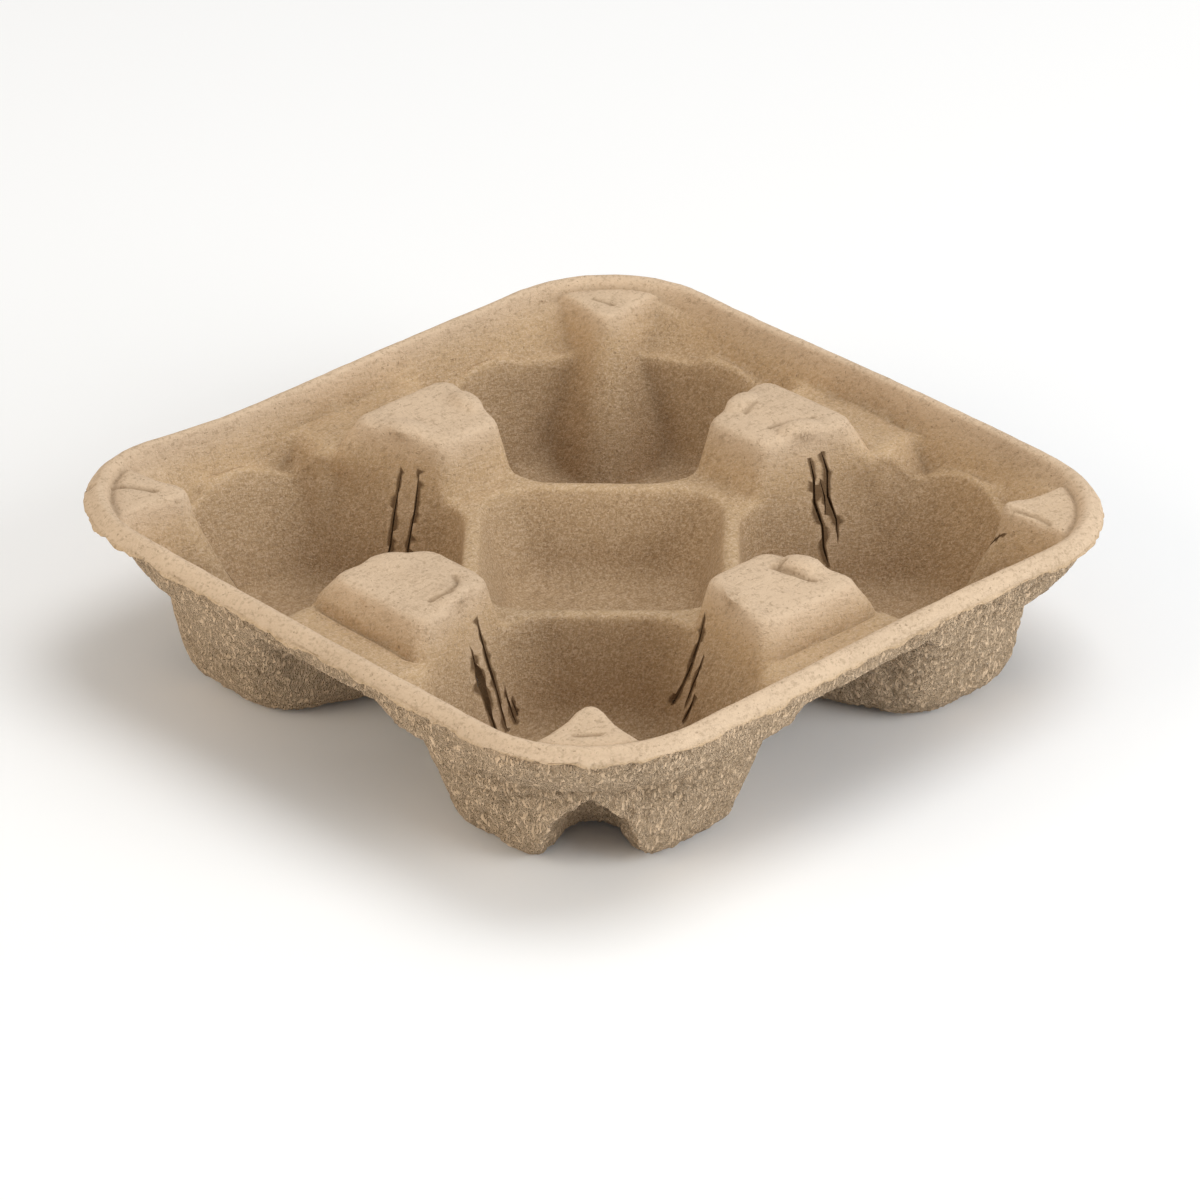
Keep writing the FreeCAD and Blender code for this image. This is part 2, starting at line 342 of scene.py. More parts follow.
class Sheet:
    """The pulp sheet's mesh as arrays: points in mm, their neighbours and normals."""

    def __init__(self, mesh):
        self.mesh = mesh
        count = len(mesh.vertices)
        self.co = np.empty(count * 3, np.float64)
        mesh.vertices.foreach_get("co", self.co)
        self.co = self.co.reshape(-1, 3) / MM
        edges = np.empty(len(mesh.edges) * 2, np.int32)
        mesh.edges.foreach_get("vertices", edges)
        edges = edges.reshape(-1, 2)
        self.ends = np.concatenate([edges[:, 0], edges[:, 1]])
        self.others = np.concatenate([edges[:, 1], edges[:, 0]])
        self.valence = np.bincount(self.ends, minlength=count)

    def mean_of_neighbours(self, values):
        columns = values.reshape(len(values), -1).T
        sums = [np.bincount(self.ends, column[self.others], len(values)) for column in columns]
        return (np.array(sums).T / self.valence[:, None]).reshape(values.shape)

    def soften(self, passes):
        """Smoothing passes that hold the sheet's size: each step in is followed by one out."""
        for _ in range(passes):
            for step in (0.55, -0.57):
                self.co += step * (self.mean_of_neighbours(self.co) - self.co)

    def spread(self, values, passes):
        for _ in range(passes):
            values = self.mean_of_neighbours(values)
        return values

    def write(self):
        self.mesh.vertices.foreach_set("co", (self.co * MM).astype(np.float32).ravel())
        self.mesh.update()

    def normals(self):
        self.write()
        normals = np.empty(len(self.co) * 3, np.float32)
        self.mesh.vertices.foreach_get("normal", normals)
        return normals.reshape(-1, 3).astype(np.float64)


def modified(obj, kind, **values):
    """The object's mesh after one modifier, as a new mesh."""
    modifier = obj.modifiers.new(kind.title(), kind)
    for name, value in values.items():
        setattr(modifier, name, value)
    evaluated = obj.evaluated_get(bpy.context.evaluated_depsgraph_get())
    mesh = bpy.data.meshes.new_from_object(evaluated)
    obj.modifiers.remove(modifier)
    return mesh


def replace_mesh(obj, mesh):
    old = obj.data
    obj.data = mesh
    bpy.data.meshes.remove(old)


def settle_bumps(co):
    """Lower the plateaus' bumps, each by its own share."""
    for turn, (plus, minus) in BUMP_KEPT.items():
        along, across = turned(co, turn)
        over = co[:, 2] - RIM_HEIGHT
        here = (over > 0) & (np.abs(along - 66) < 14) & (np.abs(across) < 22)
        kept = minus + (plus - minus) * rise(across, -3, 3)
        co[:, 2] = np.where(here, RIM_HEIGHT + over * kept, co[:, 2])


def shape_humps(co, move, upper):
    """Soft crowns on the plateaus, and the shoulder and groove along each outer face."""
    for turn in HUMPS:
        along, across = turned(co, turn)
        depth = RIM_HEIGHT - co[:, 2]
        plateau = upper * rise(1.5 - depth, 0, 1) * hill(along, 67, 17) * hill(across, 0, 18)
        move[:, 2] += plateau * (0.5 + 0.5 * grain(co, 9, 40 + turn))
        face = rise(26 - np.abs(across), 0, 6) * rise(along, 83, 87) * rise(101 - along, 0, 3)
        wave = 0.5 * grain(co, 22, 50 + turn)
        shoulder = hill(depth, 6.8 + wave, 2.2) * 0.9 - hill(depth, 9.6 + wave, 2.0) * 0.7
        move[:, 2] += face * shoulder


def swell_humps(co, move):
    """The side walls of some humps belly out towards the wells."""
    for turn, side, along_at, along_half, depth_at, depth_half, amount in SWELLS:
        along, across = turned(co, turn)
        depth = RIM_HEIGHT - co[:, 2]
        wall = HUMP_HALF + depth * tangent(HUMP_DRAFT) + (along - HUMP_INNER) * tangent(HUMP_FLARE)
        beside = hill(side * across - wall, 0, 11)
        push = side * amount * beside * hill(along, along_at, along_half)
        push = push * hill(depth, depth_at, depth_half)
        c, s = math.cos(math.radians(turn)), math.sin(math.radians(turn))
        move[:, 0] -= push * s
        move[:, 1] += push * c


def draw_noses(co, move):
    """The corner ribs' noses are drawn out into rounded knobs."""
    for turn, amount, half, lift in NOSES:
        u, v = turned(co, turn)
        depth = RIM_HEIGHT - co[:, 2]
        nose = LUG_NOSE - (depth - LUG_DROP) * tangent(LUG_NOSE_DRAFT) + v * v / (2 * LUG_RADIUS)
        here = hill(v, 0, half) * hill(u, nose + 1, 7)
        push = -amount * here * hill(depth, 3, 8)
        c, s = math.cos(math.radians(turn)), math.sin(math.radians(turn))
        move[:, 0] += push * c
        move[:, 1] += push * s
        move[:, 2] += lift * here * hill(depth, 1, 4)


def bend_ledge(co, move):
    """The fold at the foot of the tray's wall climbs to the corners and dips beside the back humps."""
    for turn in HUMPS:
        along, across = turned(co, turn)
        depth = RIM_HEIGHT - co[:, 2]
        here = rise(along, 88, 93) * rise(102 - along, 0, 3) * hill(depth, 16, 9)
        apart = np.abs(across)
        dip = 3.2 if turn in BACK_HUMPS else 0.0
        climb = 3.0 * rise(apart, 34, 46) * rise(62 - apart, 0, 8)
        move[:, 2] += here * (climb - dip * hill(apart, 28, 8))


def raise_valleys(co, move, under):
    """The valley between each hump and the rim is shallow."""
    for turn in HUMPS:
        along, across = turned(co, turn)
        here = rise(along, 82, 87) * rise(106 - along, 0, 3) * (1 - rise(np.abs(across), 20, 31))
        floor = RIM_HEIGHT - VALLEY_DEPTH - WALL * under + 0.6 * grain(co, 14, 80 + turn)
        move[:, 2] += here * np.maximum(floor - co[:, 2], 0)


def press_corners(co, move, outer, around, normals):
    """Behind the lip the foot bulges out to it at each corner."""
    centre = math.sqrt(2) * (CREST_HALF - CORNER_RADIUS)
    depth = RIM_HEIGHT - co[:, 2]
    for turn, strength in LIP_PRESSED.items():
        u, v = turned(co, turn)
        share = strength * rise(38 - np.abs(v), 0, 22) * (1 - rise(depth, 6.5, 25)) * rise(depth, 2, 5)
        wanted = np.maximum(LIP_INSIDE - 0.7 - around, 0)
        wanted = wanted * (around > CREST_HALF - 24) * (around < LIP_INSIDE - 0.2)
        length = np.maximum(np.hypot(u - centre, v), 1)
        nu, nv = turned(normals, turn)
        facing = rise((nu * (u - centre) + nv * v) / length, 0.25, 0.6)
        push = share * wanted * outer * facing * (u > centre)
        c, s = math.cos(math.radians(turn)), math.sin(math.radians(turn))
        du, dv = push * (u - centre) / length, push * v / length
        move[:, 0] += du * c - dv * s
        move[:, 1] += du * s + dv * c


def groove_corners(co, move, upper, around):
    """A thin trough inside the rim's bead, and one outside it, where the corner ribs meet it."""
    for turn in CORNERS:
        u, v = turned(co, turn)
        here = upper * rise(30 - np.abs(v), 0, 12) * (u > 100)
        inside = hill(around, CREST_HALF - 2.4, 1.5)
        outside = hill(around, CREST_HALF + 3.1, 1.2) * rise(24 - np.abs(v), 0, 14)
        move[:, 2] -= here * (0.95 * inside + 0.45 * outside)


def raise_arches(co, move, outer):
    """The rib's own foot is drawn up inside each corner's arch."""
    for turn in CORNERS:
        u, v = turned(co, turn)
        here = rise(17 - np.abs(v), 0, 9) * rise(u, 74, 88) * (1 - rise(u, 97, 105))
        move[:, 2] += outer * here * (1 - rise(co[:, 2], 0, 14)) * ARCH_LIFT


def press_creases(co, move, normals, upper):
    """The short creases of the ribs and plateaus."""
    creased = np.zeros(len(co))
    depth = RIM_HEIGHT - co[:, 2]
    for (top, bottom), width, drop, places in CREASES:
        line = np.array(places)
        low, high = line.min(0) - 3, line.max(0) + 3
        inside = ((co[:, :2] > low) & (co[:, :2] < high)).all(1)
        near = np.flatnonzero(inside & (depth > top) & (depth < bottom) & (upper > 0.5))
        spot = co[near]
        wave = np.array([grain(spot, 2.5, 61), grain(spot, 2.5, 62)]).T * 0.5
        pressed = 1 - rise(line_distance(spot[:, :2] + wave, line), 0, width)
        move[near] -= normals[near] * (pressed * drop)[:, None]
        creased[near] = np.maximum(creased[near], pressed)
    return creased


def wander(co, amount):
    """Slow unevenness of the whole tray, as a movement of each point."""
    flat = co * np.array([1, 1, 0.5])
    move = np.array([grain(flat, 60, seed) for seed in (11, 12, 13)]).T * amount
    # The left corner leans out and up, and the right corner droops
    u, v = turned(co, 225)
    lean = rise(u, 70, 135) * rise(60 - np.abs(v), 0, 50) * rise(co[:, 2], 0, 40)
    move[:, :2] -= (LEFT_CORNER_OUT * lean)[:, None]
    move[:, 2] += LEFT_CORNER_UP * lean * rise(co[:, 2], 20, 45)
    u, v = turned(co, 45)
    droop = RIGHT_CORNER_DOWN * rise(u, 80, 135) * rise(60 - np.abs(v), 0, 50)
    move[:, 2] -= droop * rise(co[:, 2], 0, 40)
    return move


def bark(co):
    """Slanting wrinkles of the screen side: rounded lumps between sharp creases, about -1 to 1."""
    slant = np.array([co[:, 0] + 0.45 * co[:, 2], co[:, 1] - 0.45 * co[:, 2], 0.5 * co[:, 2]]).T
    slant += np.array([grain(co, 9, 71), grain(co, 9, 72), grain(co, 9, 73)]).T * 2.2
    broad = np.minimum(3.2 * np.abs(grain(slant, 3.1, 74)), 1)
    narrow = np.minimum(3.0 * np.abs(grain(slant, 1.7, 75)), 1)
    dents = -rise(grain(slant, 2.2, 76), 0.3, 0.7)
    patches = 0.65 + 0.5 * grain(co, 14, 77)
    return patches * (0.75 * broad + 0.6 * narrow + 0.7 * dents - 0.8)


def cutter_mesh():
    """Thin jagged blades, one for each tear."""
    points, faces = [], []
    for line, aside, through, widths, deep in tears():
        first = len(points)
        for place, width in zip(line, widths):
            for across, into in ((-0.5, PROUD), (0.5, PROUD), (0.35, -deep), (-0.35, -deep)):
                points.append((place + aside * (across * width) + through * into) * MM)
        last = first + 4 * (len(line) - 1)
        for ring in range(first, last, 4):
            for i in range(4):
                j = (i + 1) % 4
                faces.append((ring + i, ring + j, ring + 4 + j, ring + 4 + i))
        faces.append((first + 3, first + 2, first + 1, first))
        faces.append((last, last + 1, last + 2, last + 3))
    mesh = bpy.data.meshes.new("tear_blades")
    mesh.from_pydata(points, [], faces)
    work = bmesh.new()
    work.from_mesh(mesh)
    bmesh.ops.recalc_face_normals(work, faces=work.faces)
    work.to_mesh(mesh)
    work.free()
    return mesh


def jagged(line, widths):
    """The line with middle places added that wander a little, and widths to match."""
    draw = np.random.RandomState(int(abs(line[0].x * 7 + line[0].y * 13)) % 1000)
    places, wide = [line[0]], [widths[0]]
    for i in range(len(line) - 1):
        for share in (0.33, 0.67, 1.0):
            spot = line[i].lerp(line[i + 1], share)
            width = widths[i] + (widths[i + 1] - widths[i]) * share
            places.append(spot)
            wide.append(max(0.1, width * (1 + 0.22 * draw.uniform(-1, 1))))
    return places, wide


def fold_sheet(sheet, under, outer, around):
    """Press the folds of this one tray into the sheet, and tell how creased each point is."""
    co = sheet.co
    normals = sheet.normals()
    upper = 1 - under
    move = np.zeros_like(co)
    press_corners(co, move, rise(-normals[:, 2], -0.05, 0.05), around, normals)
    swell_humps(co, move)
    draw_noses(co, move)
    bend_ledge(co, move)
    raise_valleys(co, move, under)
    shape_humps(co, move, upper)
    groove_corners(co, move, upper, around)
    raise_arches(co, move, outer)
    creased = press_creases(co, move, normals, upper)
    sheet.co += move
    sheet.soften(2)
    return creased


def roughen_sheet(sheet, settings, outer, lip, depth):
    """The slow warp of the tray, its wrinkled screen side, ragged lip and lumpy feet."""
    co = sheet.co
    normals = sheet.normals()
    move = wander(co, settings.warp)
    move[:, 2] *= rise(co[:, 2], 0, 12)
    rough = outer * rise(48 - co[:, 2], 0, 4)
    move += normals * (rough * settings.wrinkle * bark(co))[:, None]
    move += normals * (0.10 * grain(co, 5, 23) + 0.05 * grain(co, 1.8, 24))[:, None]
    low_edge = rise(12 - co[:, 2], 0, 8) * outer
    uneven = 0.9 * grain(co, 6, 25) + 0.5 * grain(co, 2.6, 26)
    move[:, :2] += (low_edge * uneven)[:, None] * normals[:, :2]

    bottom = lip * rise(depth, LIP_DROP - 4, LIP_DROP)
    lumps = grain(co, 5.5, 31) + 0.6 * grain(co, 2.4, 32)
    move[:, 2] += bottom * settings.ragged * lumps
    crumbs = grain(co, 3, 33) + grain(co, 1.5, 34)
    move += normals * (lip * rise(depth, 2.5, 5) * 0.28 * crumbs)[:, None]
    # The lip is shorter than the solid's, most of all at the front corner
    u, v = turned(co, FRONT)
    front = (u > 100) * (1 - rise(np.abs(v), 18, 34))
    move[:, 2] += bottom * (LIP_SHORTER + LIP_SHORTER_FRONT * front)
    seam = hill(depth, 4.4 + 0.8 * grain(co, 12, 35), 0.8) * lip * rise(grain(co, 20, 36), -0.5, 0.1)
    move -= normals * (0.35 * seam)[:, None]
    sheet.co += move
    sheet.co[:, 2] = np.maximum(sheet.co[:, 2], 0.0)

    # The feet end in a lumpy edge just above the floor
    notches = np.maximum(0.6 * grain(co, 4.5, 27) + 0.4 * grain(co, 2, 28), 0)
    lift = rise(6 - sheet.co[:, 2], 0, 5) * rough * notches
    sheet.co[:, 2] += 1.4 * lift


def add_masks(sheet, under, outer, lip, around, creased):
    """Where the pulp is wrinkled, on the rim, deep, high, dented, creased or torn, as values that the
    material reads: it paints shade into the deep, dented and creased places and the cut faces, and top
    light onto the rim and the high places.
    """
    co = sheet.co
    normals = sheet.normals()
    torn = np.zeros(len(co))
    for line, _, _, widths, _ in tears():
        line = np.array(line)
        near = np.flatnonzero(((co > line.min(0) - 4) & (co < line.max(0) + 4)).all(1))
        close = 1 - rise(line_distance(co[near], line) - 0.5 * max(widths), 0.3, 1.5)
        torn[near] = np.maximum(torn[near], close)
    dented = 6 * (normals * (sheet.mean_of_neighbours(co) - co)).sum(1)
    depth = RIM_HEIGHT - co[:, 2]
    upper = 1 - under
    masks = {
        "under": outer,
        "lip": rise(around, CREST_HALF - 2.5, CREST_HALF + 0.5) * upper,
        "edge": lip * rise(depth, 3.5, 6.5),
        # Painted shade: the deeper in the wells, the darker the material paints the skin
        "deep": rise(depth, 8, 24) * upper,
        # Painted light: the upper skin within 11 mm of the crest, lightened in the material as a top
        # that catches the light
        "high": rise(-depth, -11, 0) * upper,
        # Painted shade: dents and pressed creases, darkened in the material
        "hollow": np.maximum(sheet.spread(dented, 1) * 1.6, 0) + 0.55 * creased,
        "torn": torn,
        # The faces that the blades cut later have no felt value; the material paints them near black as
        # painted shade inside the cracks and the hole
        "felt": np.ones(len(co)),
    }
    for name, values in masks.items():
        attribute = sheet.mesh.attributes.new(name, "FLOAT", "POINT")
        attribute.data.foreach_set("value", np.clip(values, 0, 1).astype(np.float32))


def tear_open(context, piece):
    """Cut the cracks and the torn hole into the sheet with the blades."""
    blades = bpy.data.objects.new("tear_blades", cutter_mesh())
    context.scene.collection.objects.link(blades)
    torn_open = modified(piece, "BOOLEAN", operation="DIFFERENCE", solver="EXACT", object=blades)
    replace_mesh(piece, torn_open)
    bpy.data.objects.remove(blades)


class CARRIER_OT_sheet(bpy.types.Operator):
    """Remake the carrier as one sheet of felted pulp"""
    bl_idname = "carrier.sheet"
    bl_label = "Pulp Sheet"

    def execute(self, context):
        settings = context.scene.carrier_sheet
        piece = bpy.data.objects.new("pulp_sheet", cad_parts[NODE].data.copy())
        context.scene.collection.objects.link(piece)
        # The first, coarser mesh closes the slits, which are torn open again at the end
        replace_mesh(piece, modified(piece, "REMESH", mode="VOXEL", voxel_size=settings.voxel * COARSER))
        sheet = Sheet(piece.data)
        sheet.soften(settings.soften)
        sheet.write()
        replace_mesh(piece, modified(piece, "REMESH", mode="VOXEL", voxel_size=settings.voxel))
        sheet = Sheet(piece.data)
        sheet.soften(4)
        settle_bumps(sheet.co)

        under = sheet.spread((sheet.normals()[:, 2] < 0).astype(float), 3)
        around = square_distance(sheet.co)
        depth = RIM_HEIGHT - sheet.co[:, 2]
        lip = rise(around, CREST_HALF + 1, CREST_HALF + 3) * rise(12 - depth, 0, 1)
        outer = under * (1 - lip)
        creased = fold_sheet(sheet, under, outer, around)
        roughen_sheet(sheet, settings, outer, lip, depth)
        add_masks(sheet, under, outer, lip, around, creased)
        share = settings.triangles / (2 * len(piece.data.polygons))
        replace_mesh(piece, modified(piece, "DECIMATE", ratio=min(1.0, share)))
        tear_open(context, piece)
        for polygon in piece.data.polygons:
            polygon.use_smooth = True
        piece.data.set_sharp_from_angle(angle=math.radians(SHARP_ANGLE))
        piece.data.materials.clear()
        piece.data.materials.append(pulp_material(context.scene.carrier_colours))
        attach(piece, "root")
        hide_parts(NODE)
        return {"FINISHED"}


def node(tree, kind, place, **values):
    """A node of the given kind, with its inputs and properties set by name."""
    made = tree.nodes.new(kind)
    made.location = place
    for name, value in values.items():
        if name in made.inputs.keys():
            made.inputs[name].default_value = value
        else:
            setattr(made, name, value)
    return made


def new_group(name, inputs, outputs):
    """An empty shader node group with float, vector or colour sockets."""
    kinds = {"F": "NodeSocketFloat", "V": "NodeSocketVector", "C": "NodeSocketColor"}
    tree = bpy.data.node_groups.new(name, "ShaderNodeTree")
    for socket, kind, default in inputs:
        made = tree.interface.new_socket(name=socket, in_out="INPUT", socket_type=kinds[kind])
        if default is not None:
            made.default_value = default
    for socket, kind in outputs:
        tree.interface.new_socket(name=socket, in_out="OUTPUT", socket_type=kinds[kind])
    return tree, node(tree, "NodeGroupInput", (-900, 0)), node(tree, "NodeGroupOutput", (900, 0))


def math_node(tree, operation, place, a, b=None):
    made = node(tree, "ShaderNodeMath", place, operation=operation)
    for socket, value in zip(made.inputs, (a, b)):
        if value is None:
            continue
        if isinstance(value, (int, float)):
            socket.default_value = value
        else:
            tree.links.new(value, socket)
    return made.outputs[0]


def fibre_group():
    """Short felted fibres: streaks of noise laid in three directions."""
    tree, entry, leave = new_group(
        "Pulp Fibres", [("Vector", "V", None), ("Scale", "F", 900.0), ("Stretch", "F", 5.0)],
        [("Height", "F"), ("Tone", "F")])
    streaks = []
    for i, turn in enumerate(((0.3, 0.5, 0.2), (1.4, 0.2, 1.1), (0.6, 1.5, 2.0))):
        rotate = node(tree, "ShaderNodeVectorRotate", (-700, -250 * i), rotation_type="EULER_XYZ",
                      Rotation=turn)
        tree.links.new(entry.outputs["Vector"], rotate.inputs["Vector"])
        stretch = node(tree, "ShaderNodeVectorMath", (-500, -250 * i), operation="DIVIDE")
        combine = node(tree, "ShaderNodeCombineXYZ", (-700, -250 * i - 120), Y=1.0, Z=1.0)
        tree.links.new(entry.outputs["Stretch"], combine.inputs["X"])
        tree.links.new(rotate.outputs["Vector"], stretch.inputs[0])
        tree.links.new(combine.outputs["Vector"], stretch.inputs[1])
        noise = node(tree, "ShaderNodeTexNoise", (-300, -250 * i), Detail=2.0, Roughness=0.6,
                     Distortion=0.6)
        tree.links.new(stretch.outputs["Vector"], noise.inputs["Vector"])
        tree.links.new(entry.outputs["Scale"], noise.inputs["Scale"])
        streaks.append(noise.outputs["Fac"])
    highest = math_node(tree, "MAXIMUM", (0, 0), streaks[0], streaks[1])
    highest = math_node(tree, "MAXIMUM", (150, 0), highest, streaks[2])
    total = math_node(tree, "ADD", (0, -300), streaks[0], streaks[1])
    total = math_node(tree, "ADD", (150, -300), total, streaks[2])
    total = math_node(tree, "MULTIPLY", (300, -300), total, 1 / 3)
    tree.links.new(highest, leave.inputs["Height"])
    tree.links.new(total, leave.inputs["Tone"])
    return tree


def fleck_group():
    """Scattered specks: 1 in the middle of a speck, 0 elsewhere."""
    tree, entry, leave = new_group(
        "Pulp Flecks", [("Vector", "V", None), ("Scale", "F", 400.0), ("Share", "F", 0.1)],
        [("Mask", "F")])
    bend = node(tree, "ShaderNodeTexNoise", (-900, -300), Scale=700.0, Detail=1.0)
    tree.links.new(entry.outputs["Vector"], bend.inputs["Vector"])
    shift = node(tree, "ShaderNodeVectorMath", (-700, -200), operation="SCALE", Scale=0.0016)
    tree.links.new(bend.outputs["Color"], shift.inputs[0])
    place = node(tree, "ShaderNodeVectorMath", (-550, -100), operation="ADD")
    tree.links.new(entry.outputs["Vector"], place.inputs[0])
    tree.links.new(shift.outputs["Vector"], place.inputs[1])
    cells = node(tree, "ShaderNodeTexVoronoi", (-400, 0), Randomness=1.0)
    tree.links.new(place.outputs["Vector"], cells.inputs["Vector"])
    tree.links.new(entry.outputs["Scale"], cells.inputs["Scale"])
    split = node(tree, "ShaderNodeSeparateColor", (-200, -150))
    tree.links.new(cells.outputs["Color"], split.inputs[0])
    chosen = math_node(tree, "LESS_THAN", (0, -150), split.outputs[0], entry.outputs["Share"])
    size = math_node(tree, "MULTIPLY", (0, -300), split.outputs[1], 0.5)
    near = math_node(tree, "LESS_THAN", (200, 0), cells.outputs["Distance"], size)
    mask = math_node(tree, "MULTIPLY", (400, 0), near, chosen)
    tree.links.new(mask, leave.inputs["Mask"])
    return tree


def group_node(tree, group, place, **values):
    made = tree.nodes.new("ShaderNodeGroup")
    made.node_tree = group
    made.location = place
    for name, value in values.items():
        made.inputs[name].default_value = value
    return made


def mixed(tree, place, factor, a, b, blend="MIX"):
    """A colour mix: factor, a and b are sockets or values."""
    made = node(tree, "ShaderNodeMix", place, data_type="RGBA", blend_type=blend)
    for socket, value in ((made.inputs[0], factor), (made.inputs[6], a), (made.inputs[7], b)):
        if isinstance(value, bpy.types.NodeSocket):
            tree.links.new(value, socket)
        elif isinstance(value, (int, float)):
            socket.default_value = value
        else:
            socket.default_value = (*value, 1.0)
    return made.outputs[2]


def ranged(tree, place, value, low, high, to_low=0.0, to_high=1.0):
    made = node(tree, "ShaderNodeMapRange", place)
    made.inputs[1].default_value = low
    made.inputs[2].default_value = high
    made.inputs[3].default_value = to_low
    made.inputs[4].default_value = to_high
    tree.links.new(value, made.inputs[0])
    return made.outputs[0]


def pulp_material(colours):
    material = bpy.data.materials.new("moulded_pulp_felt")
    material.use_nodes = True
    tree = material.node_tree
    shader = tree.nodes["Principled BSDF"]
    shader.inputs["Specular IOR Level"].default_value = 0.18
    place = node(tree, "ShaderNodeTexCoord", (-1600, 0)).outputs["Object"]

    masks = {}
    for i, name in enumerate(("under", "lip", "edge", "high", "deep", "hollow", "torn", "felt")):
        read = node(tree, "ShaderNodeAttribute", (-1600, -200 * i - 200), attribute_name=name)
        masks[name] = read.outputs["Fac"]

    fibres = group_node(tree, fibre_group(), (-1200, 300), Scale=1900.0, Stretch=4.0)
    coarse = group_node(tree, bpy.data.node_groups["Pulp Fibres"], (-1200, 100), Scale=950.0,
                        Stretch=3.5)
    flecks = group_node(tree, fleck_group(), (-1200, -100), Scale=1500.0, Share=0.07)
    pale = group_node(tree, bpy.data.node_groups["Pulp Flecks"], (-1200, -300), Scale=1300.0, Share=0.10)
    for made in (fibres, coarse, flecks, pale):
        tree.links.new(place, made.inputs["Vector"])
    cloud = node(tree, "ShaderNodeTexNoise", (-1200, -500), Scale=30.0, Detail=5.0, Roughness=0.6)
    tree.links.new(place, cloud.inputs["Vector"])
    bark_place = node(tree, "ShaderNodeMapping", (-1400, -700), Rotation=(0.42, 0.42, 0.0),
                      Scale=(1.0, 1.0, 0.4))
    tree.links.new(place, bark_place.inputs["Vector"])
    bark_noise = node(tree, "ShaderNodeTexNoise", (-1200, -700), Scale=820.0, Detail=3.0, Roughness=0.6)
    tree.links.new(bark_place.outputs["Vector"], bark_noise.inputs["Vector"])

    # Painted light: the rim band and the high tops, mixed towards the light colour as tops that catch
    # the light
    rim_and_lit_tops = math_node(tree, "MAXIMUM", (-1000, 0), masks["lip"], masks["high"])
    # Distance of the bark's noise from its middle: creases run where it is small
    crease = math_node(tree, "SUBTRACT", (0, -850), bark_noise.outputs["Fac"], 0.5)
    crease = math_node(tree, "ABSOLUTE", (150, -850), crease)
    lumps = ranged(tree, (300, -850), crease, 0.0, 0.11)
    # Painted shade: the bark's creases on the underside are darkened
    creased = ranged(tree, (300, -1000), crease, 0.035, 0.0)
    creased = math_node(tree, "MULTIPLY", (450, -850), creased, masks["under"])
    # Painted shade: the cut faces, where felt is 0, go near black as the inside of the cracks and the
    # hole
    cut = ranged(tree, (1000, -300), masks["felt"], 0.7, 0.3)

    # Colour: the smooth inside and the greyer underside, then one layer over the other
    skin = mixed(tree, (-800, 200), masks["under"], tuple(colours.body), tuple(colours.rough))
    layers = (
        # Painted shade: darker the deeper in the wells
        (math_node(tree, "MULTIPLY", (-900, 300), masks["deep"], 0.38), colours.dark),
        # Painted light on the rim and the tops
        (math_node(tree, "MULTIPLY", (-800, 0), rim_and_lit_tops, 0.85), colours.light),
        (math_node(tree, "MULTIPLY", (-600, 0), masks["edge"], 0.45), colours.body),
        (ranged(tree, (-400, -100), cloud.outputs["Fac"], 0.42, 0.72, 0.0, 0.22), colours.dark),
        (ranged(tree, (-200, -100), fibres.outputs["Tone"], 0.46, 0.58, 0.0, 0.62), colours.light),
        (ranged(tree, (0, -100), coarse.outputs["Tone"], 0.50, 0.38, 0.0, 0.36), colours.dark),
        (math_node(tree, "MULTIPLY", (200, -100), flecks.outputs["Mask"], 0.42), colours.fleck_and_slit_shade),
        (math_node(tree, "MULTIPLY", (400, -100), pale.outputs["Mask"], 0.40), colours.light),
        (math_node(tree, "MULTIPLY", (600, -100), masks["torn"], 0.35), colours.light),
        # Painted shade in dents and pressed creases
        (math_node(tree, "MULTIPLY", (800, -100), masks["hollow"], 0.60), colours.dark),
        # Painted shade in the bark's creases
        (math_node(tree, "MULTIPLY", (950, -100), creased, 0.4), colours.dark),
        # Painted shade inside the cracks and the hole
        (math_node(tree, "MULTIPLY", (1150, -100), cut, 0.9), colours.fleck_and_slit_shade),
    )
    for i, (share, colour) in enumerate(layers):
        skin = mixed(tree, (180 * i - 600, 200), share, skin, tuple(colour))
    shader.location = (1800, 200)
    tree.nodes["Material Output"].location = (2100, 200)
    tree.links.new(skin, shader.inputs["Base Color"])

    roughness = ranged(tree, (0, -400), fibres.outputs["Tone"], 0.3, 0.7, 0.88, 0.98)
    tree.links.new(roughness, shader.inputs["Roughness"])
    bark_height = math_node(tree, "MULTIPLY", (600, -700), lumps, masks["under"])
    bark_bump = node(tree, "ShaderNodeBump", (750, -700), Strength=1.0, Distance=0.0007)
    tree.links.new(bark_height, bark_bump.inputs["Height"])
    coarse_bump = node(tree, "ShaderNodeBump", (400, -600), Strength=0.7, Distance=0.0006)
    tree.links.new(coarse.outputs["Height"], coarse_bump.inputs["Height"])
    tree.links.new(bark_bump.outputs["Normal"], coarse_bump.inputs["Normal"])
    fine_bump = node(tree, "ShaderNodeBump", (600, -500), Strength=0.8, Distance=0.0003)
    tree.links.new(fibres.outputs["Height"], fine_bump.inputs["Height"])
    tree.links.new(coarse_bump.outputs["Normal"], fine_bump.inputs["Normal"])
    tree.links.new(fine_bump.outputs["Normal"], shader.inputs["Normal"])
    return material


def add_lamp(scene, name, place, size, power, colour):
    """A square lamp that faces the tray."""
    data = bpy.data.lights.new(name, "AREA")
    data.size = size
    data.energy = power
    data.color = colour
    lamp = bpy.data.objects.new(name, data)
    lamp.location = place
    lamp.rotation_euler = (-Vector(place)).to_track_quat("-Z", "Y").to_euler()
    scene.collection.objects.link(lamp)


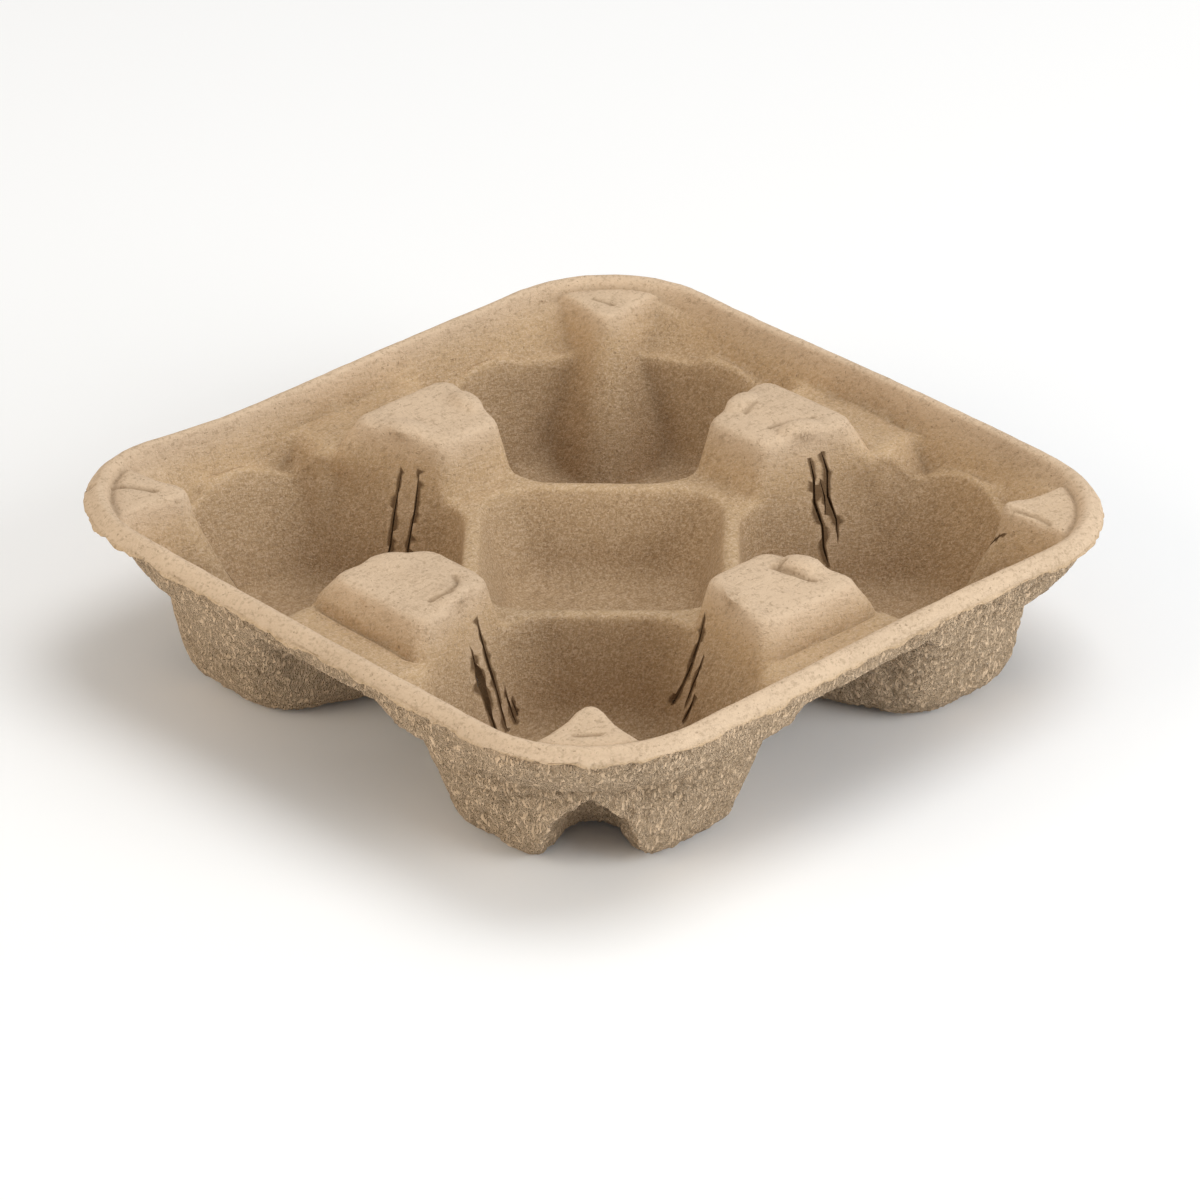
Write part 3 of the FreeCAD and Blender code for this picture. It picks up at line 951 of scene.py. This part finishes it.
def add_camera(scene, settings):
    aim = Vector((0, 0, settings.aim_height))
    level = math.cos(settings.elevation)
    back = Vector((math.sin(settings.azimuth) * level, -math.cos(settings.azimuth) * level,
                   math.sin(settings.elevation)))
    data = bpy.data.cameras.new("camera")
    data.lens = settings.lens
    data.sensor_width = 36.0
    camera = bpy.data.objects.new("camera", data)
    turn = (-back).to_track_quat("-Z", "Y").to_matrix().to_4x4()
    camera.matrix_world = (Matrix.Translation(aim + back * settings.distance) @ turn
                           @ Matrix.Rotation(settings.roll, 4, "Z"))
    scene.collection.objects.link(camera)
    scene.camera = camera


class CARRIER_OT_stage(bpy.types.Operator):
    """Lay the floor and set the lamps and the camera"""
    bl_idname = "carrier.stage"
    bl_label = "Stage"

    def execute(self, context):
        scene = context.scene
        settings = scene.carrier_studio
        half = FLOOR_HALF
        mesh = bpy.data.meshes.new("floor")
        corners = [(-half, -half, 0), (half, -half, 0), (half, half, 0), (-half, half, 0)]
        mesh.from_pydata(corners, [], [(0, 1, 2, 3)])
        floor = bpy.data.objects.new("floor", mesh)
        scene.collection.objects.link(floor)
        material = bpy.data.materials.new("studio_floor")
        material.use_nodes = True
        shader = material.node_tree.nodes["Principled BSDF"]
        shader.inputs["Base Color"].default_value = (*settings.floor, 1)
        shader.inputs["Roughness"].default_value = 0.9
        shader.inputs["Specular IOR Level"].default_value = 0.0
        mesh.materials.append(material)

        world = bpy.data.worlds.new("studio")
        world.use_nodes = True
        tree = world.node_tree
        background = tree.nodes["Background"]
        path = node(tree, "ShaderNodeLightPath", (-400, 200))
        seen = ranged(tree, (-200, 200), path.outputs["Is Camera Ray"], 0.0, 1.0, WORLD_LIGHT, 1.0)
        tree.links.new(seen, background.inputs["Strength"])
        background.inputs["Color"].default_value = (1, 1, 1, 1)
        scene.world = world

        for name, place, power, colour in SOFTBOXES:
            add_lamp(scene, name, place, SOFTBOX_SIDE, power, colour)
        add_camera(scene, settings)
        scene.view_settings.view_transform = "Standard"
        return {"FINISHED"}


class CARRIER_PT_panel(bpy.types.Panel):
    """Lists the carrier's operators and settings"""
    bl_idname = "CARRIER_PT_panel"
    bl_label = "Pulp Carrier"
    bl_space_type = "VIEW_3D"
    bl_region_type = "UI"
    bl_category = "Pulp Carrier"

    def draw(self, context):
        column = self.layout.column()
        for operator in OPERATORS:
            column.operator(operator.bl_idname)
        for name in SETTINGS:
            settings = getattr(context.scene, name)
            for prop in settings.bl_rna.properties:
                if prop.identifier not in ("rna_type", "name"):
                    column.prop(settings, prop.identifier)


SETTINGS = {"carrier_sheet": SheetSettings, "carrier_colours": PulpColours,
            "carrier_studio": StudioSettings}
OPERATORS = (CARRIER_OT_sheet, CARRIER_OT_stage)
CLASSES = (*SETTINGS.values(), *OPERATORS, CARRIER_PT_panel)


def register():
    for made in CLASSES:
        bpy.utils.register_class(made)
    for name, kind in SETTINGS.items():
        setattr(bpy.types.Scene, name, bpy.props.PointerProperty(type=kind))


def unregister():
    for name in SETTINGS:
        delattr(bpy.types.Scene, name)
    for made in reversed(CLASSES):
        bpy.utils.unregister_class(made)


def main():
    register()
    bpy.ops.carrier.sheet()
    bpy.ops.carrier.stage()
    bpy.context.view_layer.update()


if __name__ == "__main__":
    main()
